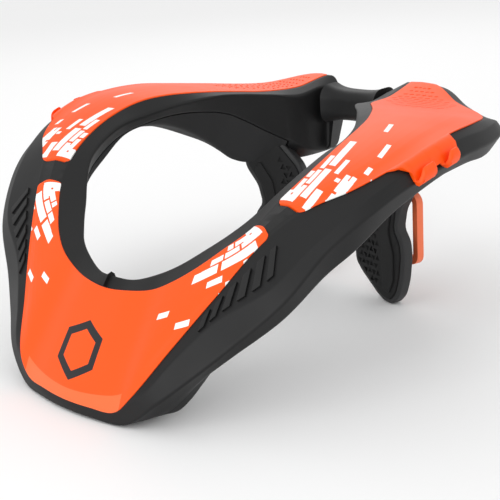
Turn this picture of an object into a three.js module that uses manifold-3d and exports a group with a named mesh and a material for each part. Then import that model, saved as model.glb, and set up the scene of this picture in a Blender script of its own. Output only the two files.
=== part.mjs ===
// Motocross neck brace: a rigid black collar around the neck, with orange cover panels let into its
// top, a soft liner under it, and two legs behind that stand on the shoulder blades.
// Millimetres, +Z up, the wearer's left is +X, the front of the brace is -Y.
// The origin is the middle of the footprint, at the surface on which the brace rests.
import * as THREE from 'three';
import { mergeVertices } from 'three/addons/utils/BufferGeometryUtils.js';
import Module from 'manifold-3d';

const wasm = await Module();
wasm.setup();

// Overall form
const halfWidth = 150;
const length = 280;
const height = 140;
const slices = 3;
const tipBack = 0.0113;

// Walls and fits
const clearance = 0.3;
const shellWall = 4.6;
const linerLip = 0.5;

// Cover panels
const panelThickness = 2.0;
const panelProud = 0.6;
const panelGap = 0.4;
const panelCorner = 6;
const panelCrown = 1.6;
const foldLift = 1.4;
const foldSpot = 0.89;
const cutterRise = 5;

// Rear bridge between the two lobes
const bridgeDepth = 19;
const bridgeHeight = 20;
const bridgeRound = 7;
const bridgeReach = 22;
const bridgeBack = 0.915;
const bridgeLevel = 0.84;

// Legs and pads on the shoulder blades
const legWidth = 57;
const legHeight = 97;
const legThickness = 8;
const legInnerShare = 0.0933;
const legBackShare = 0.822;
const legTurn = THREE.MathUtils.degToRad(14.6);
const padRim = 3;
const padDepth = 4;
const padProud = 1;
const legInner = legInnerShare * halfWidth;

// Strap loops behind the legs, each held off its leg by two lugs
const loopWidth = 34;
const loopHeight = 47;
const loopBar = 4.5;
const loopDepth = 5;
const loopRound = 7;
const loopInset = 8.5;
const loopFoot = 25;
const lugWidth = 14;
const lugDepth = 5;

// Strap hooks on the side covers
const hookWidth = 7;
const hookStations = [9.45, 10.25];
const hookWall = 2.4;
const hookDrop = 12;
const hookReach = 6;
const hookLip = 9.5;
const hookRise = 0.8;
const hookLap = 3;

const orange = 0xff6628;
const black = 0x2e2e30;
const grey = 0x3a3a3c;
const soft = 0x26262a;

// Half sections from the middle of the front round the wearer's left side to the rear lobe.
// Each entry is a share of [halfWidth, length, height]; y runs from the front edge to the rear.
// sill and crest bound the neck opening, inner and outer the cover panel, edge and skirt the
// outer side, foot the lower outer rim, sole and brink the underside of the liner.
const sections = [
  { crest: [0, .145, .466], sill: [0, .160, .357], inner: [0, .127, .421], outer: [0, .004, .043],
    edge: [0, .001, .026], skirt: [0, 0, .008], foot: [0, .014, -.003], sole: [0, .082, .022], brink: [0, .136, .150] },
  { crest: [.093, .157, .460], sill: [.100, .173, .357], inner: [.113, .131, .431], outer: [.133, .009, .045],
    edge: [.133, .006, .028], skirt: [.140, .005, .008], foot: [.133, .021, -.003], sole: [.133, .089, .018],
    brink: [.120, .150, .150] },
  { crest: [.193, .175, .493], sill: [.207, .189, .393], inner: [.218, .145, .449], outer: [.247, .018, .054],
    edge: [.273, .020, .036], skirt: [.293, .021, .014], foot: [.273, .038, .003], sole: [.267, .100, .018],
    brink: [.247, .171, .170] },
  { crest: [.267, .195, .532], sill: [.293, .204, .436], inner: [.307, .157, .493], outer: [.317, .030, .124],
    edge: [.368, .039, .147], skirt: [.413, .042, .114], foot: [.387, .064, .057], sole: [.400, .107, .041],
    brink: [.347, .175, .200] },
  { crest: [.340, .230, .589], sill: [.373, .236, .500], inner: [.387, .180, .550], outer: [.417, .090, .300],
    edge: [.453, .084, .286], skirt: [.520, .084, .218], foot: [.500, .109, .181], sole: [.440, .160, .140],
    brink: [.407, .221, .330] },
  { crest: [.400, .264, .643], sill: [.440, .268, .564], inner: [.460, .213, .618], outer: [.522, .155, .484],
    edge: [.560, .132, .418], skirt: [.633, .128, .339], foot: [.607, .138, .282], sole: [.533, .211, .371],
    brink: [.480, .257, .471] },
  { crest: [.453, .293, .700], sill: [.500, .296, .629], inner: [.531, .253, .691], outer: [.629, .228, .674],
    edge: [.733, .180, .552], skirt: [.787, .182, .511], foot: [.753, .196, .429], sole: [.640, .257, .507],
    brink: [.533, .296, .564] },
  { crest: [.507, .332, .779], sill: [.547, .336, .704], inner: [.576, .304, .781], outer: [.723, .288, .776],
    edge: [.807, .232, .671], skirt: [.867, .246, .671], foot: [.833, .261, .568], sole: [.707, .311, .614],
    brink: [.573, .343, .657] },
  { crest: [.533, .382, .839], sill: [.573, .389, .771], inner: [.602, .364, .852], outer: [.833, .338, .839],
    edge: [.880, .307, .786], skirt: [.920, .305, .757], foot: [.887, .305, .643], sole: [.747, .361, .693],
    brink: [.593, .404, .736] },
  { crest: [.540, .446, .886], sill: [.577, .446, .825], inner: [.609, .436, .914], outer: [.905, .412, .902],
    edge: [.933, .386, .864], skirt: [.957, .382, .825], foot: [.920, .384, .739], sole: [.753, .432, .771],
    brink: [.587, .468, .825] },
  { crest: [.527, .507, .904], sill: [.553, .518, .861], inner: [.592, .514, .957], outer: [.927, .486, .946],
    edge: [.957, .479, .914], skirt: [.977, .468, .864], foot: [.940, .457, .796], sole: [.747, .496, .806],
    brink: [.573, .532, .845] },
  { crest: [.480, .575, .929], sill: [.507, .604, .879], inner: [.547, .577, .970], outer: [.923, .568, .965],
    edge: [.960, .565, .943], skirt: [.983, .561, .889], foot: [.953, .557, .843], sole: [.733, .596, .800],
    brink: [.560, .618, .800] },
  { crest: [.367, .661, .957], sill: [.407, .689, .861], inner: [.436, .666, .965], outer: [.903, .661, .965],
    edge: [.943, .668, .943], skirt: [.963, .675, .896], foot: [.933, .664, .836], sole: [.667, .704, .710],
    brink: [.533, .704, .693] },
  { crest: [.307, .696, .957], sill: [.347, .729, .814], inner: [.360, .712, .957], outer: [.857, .730, .950],
    edge: [.897, .741, .941], skirt: [.913, .752, .900], foot: [.873, .736, .829], sole: [.587, .761, .650],
    brink: [.480, .746, .600] },
  { crest: [.227, .754, .943], sill: [.280, .764, .757], inner: [.287, .757, .949], outer: [.773, .786, .939],
    edge: [.793, .796, .921], skirt: [.810, .804, .879], foot: [.753, .789, .800], sole: [.470, .811, .629],
    brink: [.400, .782, .580] },
  { crest: [.193, .821, .921], sill: [.180, .846, .657], inner: [.243, .854, .943], outer: [.547, .893, .925],
    edge: [.570, .907, .911], skirt: [.580, .914, .875], foot: [.547, .886, .786], sole: [.307, .886, .640],
    brink: [.240, .861, .600] },
  { crest: [.173, .907, .936], sill: [.160, .896, .636], inner: [.207, .957, .971], outer: [.320, .971, .964],
    edge: [.337, .986, .950], skirt: [.340, 1, .907], foot: [.313, .968, .800], sole: [.240, .932, .650],
    brink: [.187, .914, .620] },
  { crest: [.133, .921, .900], sill: [.127, .889, .657], inner: [.140, .943, .914], outer: [.153, .962, .914],
    edge: [.160, .968, .904], skirt: [.163, .971, .871], foot: [.160, .961, .757], sole: [.147, .932, .657],
    brink: [.133, .907, .643] },
];
const last = sections.length - 1;
const frontEnd = 6.12;
const sideStart = 6.85;
const sideEnd = 15.9;
const hollowEnd = 14.5;
const stretches = [[-last, -hollowEnd], [-hollowEnd, hollowEnd], [hollowEnd, last]];

// Outline of a leg, as shares of its width and height.
const legOutline = [
  [.50, 1], [.72, 1], [1, .87], [.97, .78], [.83, .66], [.78, .53], [.88, .45], [.90, .35], [.86, .19],
  [.79, .07], [.67, 0], [.52, 0], [.41, .03], [.12, .15], [.02, .21], [0, .31], [.10, .62], [.24, .83],
];

// One smooth rail for each column of the table, from the right lobe round the front to the left.
function spot(share, side) {
  const y = share[1] * length;
  const z = share[2] * height;
  return new THREE.Vector3(side * share[0] * halfWidth, y - length / 2 + (z - height / 2) * tipBack, z - y * tipBack);
}

const rails = {};
for (const name of Object.keys(sections[0])) {
  const right = sections.slice(1).reverse().map((row) => spot(row[name], -1));
  const left = sections.map((row) => spot(row[name], 1));
  rails[name] = new THREE.CatmullRomCurve3([...right, ...left], false, 'centripetal');
}

// Every named point of the section at a station, with the panel's crown and its lower fold.
function section(station) {
  const points = {};
  for (const name of Object.keys(rails)) {
    points[name] = rails[name].getPoint((station + last) / (2 * last));
  }
  const across = points.outer.clone().sub(points.inner);
  const out = new THREE.Vector3(across.x, across.y, 0).normalize();
  const along = across.clone().normalize();
  const up = new THREE.Vector3(0, 0, 1).addScaledVector(along, -along.z).normalize();
  const foldShare = THREE.MathUtils.clamp(1 - (Math.abs(station) - 2) / 2, 0.2, 1);
  points.mid = points.inner.clone().lerp(points.outer, 0.5).addScaledVector(up, panelCrown);
  points.fold = points.inner.clone().lerp(points.outer, foldSpot).addScaledVector(up, foldLift * foldShare);
  return { ...points, out, along, up };
}

function moved(point, ...steps) {
  const result = point.clone();
  for (const [direction, distance] of steps) result.addScaledVector(direction, distance);
  return result;
}

function skin(s) {
  return [s.sill, s.crest, s.inner, s.mid, s.fold, s.outer, s.edge, s.skirt, s.foot];
}

// The four corners of the hollow inside the shell, a wall away from the skin.
function hollow(s, wall) {
  const toSole = s.sole.clone().sub(s.foot).normalize();
  return [
    moved(s.foot, [toSole, wall]),
    moved(s.outer, [s.up, -wall], [s.along, -wall]),
    moved(s.inner, [s.up, -wall], [s.along, wall - shellWall / 2]),
    moved(s.sill, [s.out, wall]),
  ];
}

const shellLoop = (station) => {
  const s = section(station);
  return [...skin(s), ...hollow(s, shellWall)];
};

const fullLoop = (station) => {
  const s = section(station);
  return [...skin(s), s.sole, s.brink];
};

const linerLoop = (station) => {
  const s = section(station);
  const [foot, outer, inner, sill] = hollow(s, shellWall + clearance);
  const toBrink = s.brink.clone().sub(s.sill).normalize();
  return [foot, outer, inner, sill, moved(sill, [toBrink, linerLip]), moved(s.sill, [toBrink, linerLip]), s.brink, s.sole];
};

// A loop moved outwards all round by a distance, in its own plane.
function grown(loop, out, distance) {
  const flat = loop.map((point) => new THREE.Vector2(point.dot(out), point.z));
  const turn = Math.sign(THREE.ShapeUtils.area(flat));
  return loop.map((point, i) => {
    const before = flat[(i + flat.length - 1) % flat.length];
    const after = flat[(i + 1) % flat.length];
    const one = flat[i].clone().sub(before).normalize();
    const two = after.clone().sub(flat[i]).normalize();
    const edge = one.add(two).normalize();
    return moved(point, [out, turn * edge.y * distance], [new THREE.Vector3(0, 0, 1), -turn * edge.x * distance]);
  });
}

// The panel's cross-section: its upper face stands proud of the skin, its lower one lies in a recess.
function panelLoop(station, inset, below, above) {
  const s = section(station);
  const top = [moved(s.inner, [s.along, inset]), s.mid, s.fold, moved(s.outer, [s.along, -inset])];
  const foldInset = Math.max(0, inset - s.outer.distanceTo(s.fold) + 1);
  top[2] = moved(s.fold, [s.along, -foldInset]);
  return [
    ...top.map((point) => moved(point, [s.up, above])),
    ...top.map((point) => moved(point, [s.up, -below])).reverse(),
  ];
}

function range(from, to) {
  const count = Math.round(Math.abs(to - from) * slices);
  return Array.from({ length: count + 1 }, (_, i) => from + (to - from) * i / count);
}

// A loop laid flat in its own plane, turning anticlockwise.
function flattened(loop) {
  const normal = new THREE.Vector3();
  loop.forEach((point, i) => normal.add(point.clone().cross(loop[(i + 1) % loop.length])));
  normal.normalize();
  const side = new THREE.Vector3(0, 0, 1).cross(normal).normalize();
  const rise = normal.clone().cross(side);
  return loop.map((point) => new THREE.Vector2(point.dot(side), point.dot(rise)));
}

// A closed body through a list of loops that have the same number of points.
function loft(loops) {
  const count = loops[0].length;
  const positions = loops.flat().flatMap((point) => [point.x, point.y, point.z]);
  const faces = [];
  for (let row = 0; row + 1 < loops.length; row += 1) {
    for (let i = 0; i < count; i += 1) {
      const a = row * count + i;
      const b = row * count + (i + 1) % count;
      faces.push([a, b, b + count], [a, b + count, a + count]);
    }
  }
  for (const [row, isFirst] of [[0, true], [loops.length - 1, false]]) {
    for (const [a, b, c] of THREE.ShapeUtils.triangulateShape(flattened(loops[row]), [])) {
      const face = [a + row * count, b + row * count, c + row * count];
      faces.push(isFirst ? face.reverse() : face);
    }
  }
  return solid(positions, faces.flat());
}

function solid(positions, indices) {
  let volume = 0;
  const corner = (k) => new THREE.Vector3().fromArray(positions, 3 * indices[k]);
  for (let k = 0; k < indices.length; k += 3) {
    volume += corner(k).dot(corner(k + 1).cross(corner(k + 2)));
  }
  const order = volume > 0 ? indices : [...indices].reverse();
  const mesh = new wasm.Mesh({
    numProp: 3, vertProperties: Float32Array.from(positions), triVerts: Uint32Array.from(order),
  });
  return new wasm.Manifold(mesh);
}

// A closed body from a three.js geometry, placed by a matrix.
function solidOf(geometry, matrix) {
  geometry.deleteAttribute('normal');
  geometry.deleteAttribute('uv');
  const merged = mergeVertices(geometry.applyMatrix4(matrix), 1e-4);
  return solid(Array.from(merged.attributes.position.array), Array.from(merged.index.array));
}

function plate(outline, depth, matrix, holes = []) {
  const shape = new THREE.Shape(outline);
  shape.holes = holes.map((hole) => new THREE.Path(hole));
  return solidOf(new THREE.ExtrudeGeometry(shape, { depth, bevelEnabled: false, curveSegments: 4 }), matrix);
}

function roundedBox(width, tall, radius) {
  const shape = new THREE.Shape();
  shape.absarc(width / 2 - radius, tall / 2 - radius, radius, 0, Math.PI / 2);
  shape.absarc(-width / 2 + radius, tall / 2 - radius, radius, Math.PI / 2, Math.PI);
  shape.absarc(-width / 2 + radius, -tall / 2 + radius, radius, Math.PI, 1.5 * Math.PI);
  shape.absarc(width / 2 - radius, -tall / 2 + radius, radius, 1.5 * Math.PI, 2 * Math.PI);
  return shape.getPoints(4).slice(0, -1);
}

const stepLength = (a, b) => section(a).mid.distanceTo(section(b).mid);

// Stations and insets of a panel: its ends are rounded by the corner radius.
function panelStations(from, to, roundFrom, roundTo) {
  const ends = [];
  for (const share of [0, 0.12, 0.35, 0.65, 1]) {
    const inset = panelCorner * (1 - Math.sqrt(1 - (1 - share) ** 2));
    ends.push([share, inset]);
  }
  const list = range(from, to).map((station) => [station, 0]);
  const nearStart = panelCorner / stepLength(from, from + 1);
  const nearEnd = panelCorner / stepLength(to, to - 1);
  const kept = list.filter(([station]) => (!roundFrom || station > from + nearStart)
    && (!roundTo || station < to - nearEnd));
  const start = ends.map(([share, inset]) => [from + nearStart * share, inset]);
  const finish = ends.map(([share, inset]) => [to - nearEnd * share, inset]).reverse();
  return [...(roundFrom ? start : []), ...kept, ...(roundTo ? finish : [])];
}

function panel(stations) {
  return loft(stations.map(([station, inset]) => panelLoop(station, inset, panelThickness, panelProud)));
}

// The recess that a panel lies in: wider, longer and deeper by a gap or two, and open above.
function panelCutter(stations) {
  const loops = stations.map(([station, inset]) => panelLoop(
    station, inset - panelGap, panelThickness + 2 * panelGap, cutterRise));
  for (const [end, way] of [[0, -1], [loops.length - 1, 1]]) {
    const s = section(stations[end][0]);
    const onwards = s.up.clone().cross(s.along).multiplyScalar(way);
    loops[end] = loops[end].map((point) => moved(point, [onwards, 2 * panelGap]));
  }
  return loft(loops);
}

// A loft a clearance larger all round: what rests on it is cut by this.
function around(from, to, loopAt) {
  return loft(range(from, to).map((station) => grown(loopAt(station), section(station).out, clearance)));
}

function bridge() {
  const matrix = new THREE.Matrix4().makeBasis(
    new THREE.Vector3(0, 1, 0), new THREE.Vector3(0, 0, 1), new THREE.Vector3(1, 0, 0));
  matrix.setPosition(-bridgeReach, (bridgeBack - 0.5) * length, bridgeLevel * height);
  return plate(roundedBox(bridgeDepth, bridgeHeight, bridgeRound), 2 * bridgeReach, matrix);
}

// The leg's own frame: x runs outwards along its face, y up, z forwards out of the face.
function legMatrix(forward) {
  const outwards = new THREE.Vector3(Math.cos(legTurn), -Math.sin(legTurn), 0);
  const front = new THREE.Vector3(-Math.sin(legTurn), -Math.cos(legTurn), 0);
  const matrix = new THREE.Matrix4().makeBasis(outwards, new THREE.Vector3(0, 0, 1), front);
  matrix.setPosition(
    legInner + front.x * forward, (legBackShare - 0.5) * length + front.y * forward, 0);
  return matrix;
}

function insetOutline(outline, distance) {
  const points = outline.map(([x, y]) => new THREE.Vector2(x * legWidth, y * legHeight));
  const turn = Math.sign(THREE.ShapeUtils.area(points));
  return points.map((point, i) => {
    const before = points[(i + points.length - 1) % points.length];
    const after = points[(i + 1) % points.length];
    const edge = after.clone().sub(before).normalize();
    return new THREE.Vector2(point.x - turn * edge.y * distance, point.y + turn * edge.x * distance);
  });
}

function legAndPad(cutter) {
  const outer = plate(insetOutline(legOutline, 0), legThickness, legMatrix(-legThickness));
  const pocket = plate(insetOutline(legOutline, padRim), padDepth + cutterRise, legMatrix(-padDepth));
  const pad = plate(insetOutline(legOutline, padRim + clearance), padDepth - clearance + padProud,
    legMatrix(-padDepth + clearance));
  return [outer.subtract(pocket).subtract(cutter), pad.subtract(cutter)];
}

function strapLoop() {
  const place = (forward, rise) => legMatrix(-legThickness - clearance - forward).multiply(
    new THREE.Matrix4().makeTranslation(legWidth - loopInset - loopWidth / 2, loopFoot + rise, 0));
  const outer = roundedBox(loopWidth, loopHeight, loopRound);
  const hole = roundedBox(loopWidth - 2 * loopBar, loopHeight - 2 * loopBar, loopRound - loopBar);
  let body = plate(outer, loopDepth, place(lugDepth + loopDepth, loopHeight / 2), [hole.reverse()]);
  for (const rise of [loopBar / 2, loopHeight - loopBar / 2]) {
    const lug = roundedBox(lugWidth, loopBar, loopBar / 4);
    body = body.add(plate(lug, lugDepth + loopDepth / 2, place(lugDepth + loopDepth / 2, rise)));
  }
  return body;
}

// A hook's side view is a J: it laps over the cover's edge, drops down the side and turns up in a lip,
// a reach beyond the shell's widest point there.
function hook(station, cutter) {
  const here = section(station);
  const next = section(station + 0.1);
  const alongEdge = next.outer.clone().sub(here.outer).setZ(0).normalize();
  const outwards = new THREE.Vector3(alongEdge.y, -alongEdge.x, 0);
  const reach = here.skirt.clone().sub(here.outer).dot(outwards) + hookReach;
  const valley = reach - 2 * hookWall;
  const floor = hookWall - hookDrop;
  const tip = hookLip - hookDrop;
  const profile = [
    [-hookLap, 0], [-hookLap, hookRise], [hookWall, hookRise], [0.75 * valley, floor / 4], [valley, floor / 2],
    [valley, floor], [reach - hookWall, floor], [reach - hookWall, tip - hookWall / 2],
    [reach - hookWall / 2, tip], [reach, tip - hookWall / 2], [reach, floor],
    [reach - hookWall, -hookDrop], [valley - hookWall, -hookDrop], [valley - hookWall, floor / 2], [0, -hookWall],
  ];
  const matrix = new THREE.Matrix4().makeBasis(outwards, new THREE.Vector3(0, 0, 1), alongEdge.clone().negate());
  matrix.setPosition(here.outer.clone().addScaledVector(alongEdge, hookWidth / 2));
  return plate(profile.map(([x, y]) => new THREE.Vector2(x, y)), hookWidth, matrix).subtract(cutter);
}

function meshOf(name, body, colour, roughness, mirrored = false) {
  const { vertProperties, triVerts } = body.getMesh();
  const geometry = new THREE.BufferGeometry();
  const index = mirrored ? Uint32Array.from(triVerts).reverse() : triVerts;
  geometry.setAttribute('position', new THREE.BufferAttribute(Float32Array.from(vertProperties), 3));
  geometry.setIndex(new THREE.BufferAttribute(Uint32Array.from(index), 1));
  if (mirrored) geometry.scale(-1, 1, 1);
  geometry.computeVertexNormals();
  const mesh = new THREE.Mesh(geometry, new THREE.MeshStandardMaterial({ color: colour, roughness, metalness: 0 }));
  mesh.name = name;
  return mesh;
}

const frontStations = panelStations(-frontEnd, frontEnd, true, true);
const leftStations = panelStations(sideStart, sideEnd, true, true);
const rightStations = leftStations.map(([station, inset]) => [-station, inset]).reverse();

function buildChassis() {
  let body = bridge();
  for (const [from, to] of stretches) {
    body = body.add(loft(range(from, to).map(from < 0 && to > 0 ? shellLoop : fullLoop)));
  }
  for (const stations of [frontStations, leftStations, rightStations]) {
    body = body.subtract(panelCutter(stations));
  }
  return body.trimByPlane([0, 0, 1], 0);
}

// The liner stops a clearance short of the solid lobe ends, and lies clear of the ground.
const liningGap = clearance / stepLength(hollowEnd, hollowEnd - 1);
const liner = loft(range(-hollowEnd, hollowEnd).map(linerLoop))
  .subtract(around(hollowEnd - liningGap, last, fullLoop))
  .subtract(around(-last, liningGap - hollowEnd, fullLoop))
  .trimByPlane([0, 0, 1], clearance);

let wholeBrace = around(-hollowEnd, hollowEnd, linerLoop);
for (const [from, to] of stretches) wholeBrace = wholeBrace.add(around(from, to, fullLoop));
const [leg, pad] = legAndPad(wholeBrace);
let sideCover = panel(leftStations);
for (const station of hookStations) {
  sideCover = sideCover.add(hook(station, wholeBrace));
}

const brace = new THREE.Group();
brace.name = 'neck_brace';
brace.add(
  meshOf('chassis', buildChassis(), black, 0.55),
  meshOf('liner', liner, soft, 0.8),
  meshOf('front_plate', panel(frontStations), orange, 0.45),
  meshOf('side_cover_left', sideCover, orange, 0.45),
  meshOf('side_cover_right', sideCover, orange, 0.45, true),
  meshOf('scapula_leg_left', leg, grey, 0.6),
  meshOf('scapula_leg_right', leg, grey, 0.6, true),
  meshOf('scapula_pad_left', pad, soft, 0.8),
  meshOf('scapula_pad_right', pad, soft, 0.8, true),
  meshOf('strap_loop_left', strapLoop(), orange, 0.4),
  meshOf('strap_loop_right', strapLoop(), orange, 0.4, true),
);

export default brace;
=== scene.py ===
# Motocross neck brace: the looks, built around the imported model. Metres, +Z up, the front is -Y.
import math
import bpy
import bmesh
from mathutils import Matrix, Vector


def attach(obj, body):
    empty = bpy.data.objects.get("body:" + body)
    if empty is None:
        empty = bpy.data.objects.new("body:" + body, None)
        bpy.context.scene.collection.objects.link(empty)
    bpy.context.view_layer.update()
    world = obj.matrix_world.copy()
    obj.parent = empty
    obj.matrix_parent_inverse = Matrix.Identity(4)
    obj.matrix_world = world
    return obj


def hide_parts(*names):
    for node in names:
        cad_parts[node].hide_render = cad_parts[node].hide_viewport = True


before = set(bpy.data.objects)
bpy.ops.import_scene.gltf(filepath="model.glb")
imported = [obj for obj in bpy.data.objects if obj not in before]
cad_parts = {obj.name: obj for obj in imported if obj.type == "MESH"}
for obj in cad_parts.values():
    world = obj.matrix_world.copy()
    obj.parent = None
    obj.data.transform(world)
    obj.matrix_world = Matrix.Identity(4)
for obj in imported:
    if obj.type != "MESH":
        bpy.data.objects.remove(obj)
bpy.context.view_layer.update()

MM = 0.001

# Overall form, as in the model's source, but for the covers' corners, which are sharper here
HALF_WIDTH = 0.150
LENGTH = 0.280
HEIGHT = 0.140
TIP_BACK = 0.0113
SHELL_WALL = 4.6 * MM
PANEL_THICKNESS = 2.0 * MM
PANEL_PROUD = 0.6 * MM
PANEL_GAP = 0.4 * MM
PANEL_CORNER = 3.4 * MM
PANEL_CROWN = 1.6 * MM
FOLD_LIFT = 1.4 * MM
FOLD_SHARE = 0.89
FRONT_END = 6.12
SIDE_START = 6.85
SIDE_END = 15.9
HOLLOW_END = 14.5
LINER_FIT = 0.3 * MM
LINER_LIP = 0.5 * MM

# Rings for each station of the table, points on each rounded edge, and a small step of stations
SLICES = 9
ARC_POINTS = 5
NUDGE = 0.05

COLUMNS = ("crest", "sill", "inner", "outer", "edge", "skirt", "foot", "sole", "brink")

# Half sections from the middle of the front round the left side to the rear lobe, each point a
# share of (half width, length from the front edge, height), in the order of COLUMNS.
SECTIONS = (
    ((0, .145, .466), (0, .160, .357), (0, .127, .421), (0, .004, .043),
     (0, .001, .026), (0, 0, .008), (0, .014, -.003), (0, .082, .022), (0, .136, .150)),
    ((.093, .157, .460), (.100, .173, .357), (.113, .131, .431), (.133, .009, .045),
     (.133, .006, .028), (.140, .005, .008), (.133, .021, -.003), (.133, .089, .018), (.120, .150, .150)),
    ((.193, .175, .493), (.207, .189, .393), (.218, .145, .449), (.247, .018, .054),
     (.273, .020, .036), (.293, .021, .014), (.273, .038, .003), (.267, .100, .018), (.247, .171, .170)),
    ((.267, .195, .532), (.293, .204, .436), (.307, .157, .493), (.317, .030, .124),
     (.368, .039, .147), (.413, .042, .114), (.387, .064, .057), (.400, .107, .041), (.347, .175, .200)),
    ((.340, .230, .589), (.373, .236, .500), (.387, .180, .550), (.417, .090, .300),
     (.453, .084, .286), (.520, .084, .218), (.500, .109, .181), (.440, .160, .140), (.407, .221, .330)),
    ((.400, .264, .643), (.440, .268, .564), (.460, .213, .618), (.522, .155, .484),
     (.560, .132, .418), (.633, .128, .339), (.607, .138, .282), (.533, .211, .371), (.480, .257, .471)),
    ((.453, .293, .700), (.500, .296, .629), (.531, .253, .691), (.629, .228, .674),
     (.733, .180, .552), (.787, .182, .511), (.753, .196, .429), (.640, .257, .507), (.533, .296, .564)),
    ((.507, .332, .779), (.547, .336, .704), (.576, .304, .781), (.723, .288, .776),
     (.807, .232, .671), (.867, .246, .671), (.833, .261, .568), (.707, .311, .614), (.573, .343, .657)),
    ((.533, .382, .839), (.573, .389, .771), (.602, .364, .852), (.833, .338, .839),
     (.880, .307, .786), (.920, .305, .757), (.887, .305, .643), (.747, .361, .693), (.593, .404, .736)),
    ((.540, .446, .886), (.577, .446, .825), (.609, .436, .914), (.905, .412, .902),
     (.933, .386, .864), (.957, .382, .825), (.920, .384, .739), (.753, .432, .771), (.587, .468, .825)),
    ((.527, .507, .904), (.553, .518, .861), (.592, .514, .957), (.927, .486, .946),
     (.957, .479, .914), (.977, .468, .864), (.940, .457, .796), (.747, .496, .806), (.573, .532, .845)),
    ((.480, .575, .929), (.507, .604, .879), (.547, .577, .970), (.923, .568, .965),
     (.960, .565, .943), (.983, .561, .889), (.953, .557, .843), (.733, .596, .800), (.560, .618, .800)),
    ((.367, .661, .957), (.407, .689, .861), (.436, .666, .965), (.903, .661, .965),
     (.943, .668, .943), (.963, .675, .896), (.933, .664, .836), (.667, .704, .710), (.533, .704, .693)),
    ((.307, .696, .957), (.347, .729, .814), (.360, .712, .957), (.857, .730, .950),
     (.897, .741, .941), (.913, .752, .900), (.873, .736, .829), (.587, .761, .650), (.480, .746, .600)),
    ((.227, .754, .943), (.280, .764, .757), (.287, .757, .949), (.773, .786, .939),
     (.793, .796, .921), (.810, .804, .879), (.753, .789, .800), (.470, .811, .629), (.400, .782, .580)),
    ((.193, .821, .921), (.180, .846, .657), (.243, .854, .943), (.547, .893, .925),
     (.570, .907, .911), (.580, .914, .875), (.547, .886, .786), (.307, .886, .640), (.240, .861, .600)),
    ((.173, .907, .936), (.160, .896, .636), (.207, .957, .971), (.320, .971, .964),
     (.337, .986, .950), (.340, 1, .907), (.313, .968, .800), (.240, .932, .650), (.187, .914, .620)),
    ((.133, .921, .900), (.127, .889, .657), (.140, .943, .914), (.153, .962, .914),
     (.160, .968, .904), (.163, .971, .871), (.160, .961, .757), (.147, .932, .657), (.133, .907, .643)),
)
LAST = len(SECTIONS) - 1

# Rounding of the shell's edges, by column
ROUNDING = {
    "sill": 2.4 * MM, "crest": 2.6 * MM, "inner": 1.0 * MM, "fold": 1.5 * MM, "outer": 1.2 * MM,
    "edge": 1.1 * MM, "skirt": 2.0 * MM, "foot": 2.4 * MM,
}
# Rounding in the hollow, at the liner's lip, and at the brink and the sole of lobes and liner
HOLLOW_ROUND = 0.5 * MM
LIP_ROUND = 1.5 * MM
BRINK_ROUND = 3 * MM
SOLE_ROUND = 4 * MM
LINER_SOLE_ROUND = 6 * MM
# How far a rounded edge is pushed back out towards its sharp corner, and the longest share of a
# side that it takes
FULLNESS = 0.35
LONGEST_SHARE = 0.45

# Cover panels: the rounding of the rim, the crown and the fold, the room kept beyond the fold, the
# rows across the crown, the degrees between rings at a rounded end, and the rise of a recess cutter
PANEL_ROUND = 0.7 * MM
CROWN_ROUND = 0.3 * MM
FOLD_ROUND = 2.5 * MM
FOLD_ROOM = 1 * MM
CROWN_ROWS = 7
ARC_STEP = 9
RECESS_RISE = 6 * MM
# The fold's lift fades from this station on, over so many stations, down to a least share
FADE_START = 2
FADE_LONG = 2
FADE_LEAST = 0.2

# Strap hooks: the cover's edge rolls over the side and ends in two upturned lips. The curve is
# (out, up) from the cover's edge in millimetres, and each row of the flap table is a station and
# the share of the curve that the edge has there.
HOOK_CURVE = (
    (0, 0), (2.6, .1), (5.4, -.9), (7.6, -3.2), (8.7, -6.4), (9.3, -8.8), (10.3, -9.2), (11.1, -7.4),
    (11.4, -4.8), (11.5, -2.4),
)
HOOK_WALL = 2.0 * MM
HOOK_STEPS = 16
HOOK_NUDGE = 0.01
# The flap thins down over the last steps of its curve, to this share of the wall, and where it is
# short
TIP_STEPS = 2
TIP_SHARE = 0.25
SHORT_GAIN = 4
SHORT_SHARE = 0.2
# Stations between which the hooks stand, and the rings for each of them
FLAP_START = 8.7
FLAP_END = 10.85
FLAP_SLICES = 25
FLAPS = (
    (0, .03), (8.72, .03), (8.95, .14), (9.12, .34), (9.24, .8), (9.3, .97), (9.36, 1), (9.58, 1),
    (9.64, .95), (9.7, .6), (9.78, .5), (9.98, .5), (10.06, .62), (10.12, .96), (10.18, 1), (10.36, 1),
    (10.42, .94), (10.47, .55), (10.6, .4), (10.72, .12), (10.8, .03), (17, .03),
)

# Dimples in the wing of a side cover: places in stations and shares of the cover's width
DIMPLE_START = 13.85
DIMPLE_STEP = 0.165
DIMPLE_ROWS = 11
DIMPLE_COLUMNS = 8
DIMPLE_ACROSS = 0.14
DIMPLE_PITCH = 0.095
DIMPLE_SLANT = 0.35
DIMPLE_HALF = 2.3 * MM
DIMPLE_HALF_SHARE = 0.037
DIMPLE_WIDE = 0.7 * MM
DIMPLE_DEPTH = 0.4 * MM
DIMPLE_SIDES = 8
RAY_RISE = 10 * MM
# The field of dimples is a diamond about this row and share, cut off at its corners
FIELD_MIDDLE = (5, 0.46)
FIELD_HALF = (6, 0.45)
FIELD_LIMIT = 1.2

# The black border round the wing of a side cover, and how flat the cover lies there
WING_START = 11.5
WING_LONG = 2
WING_BORDER = 2.2 * MM
WING_FLAT = 0.75

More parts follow.
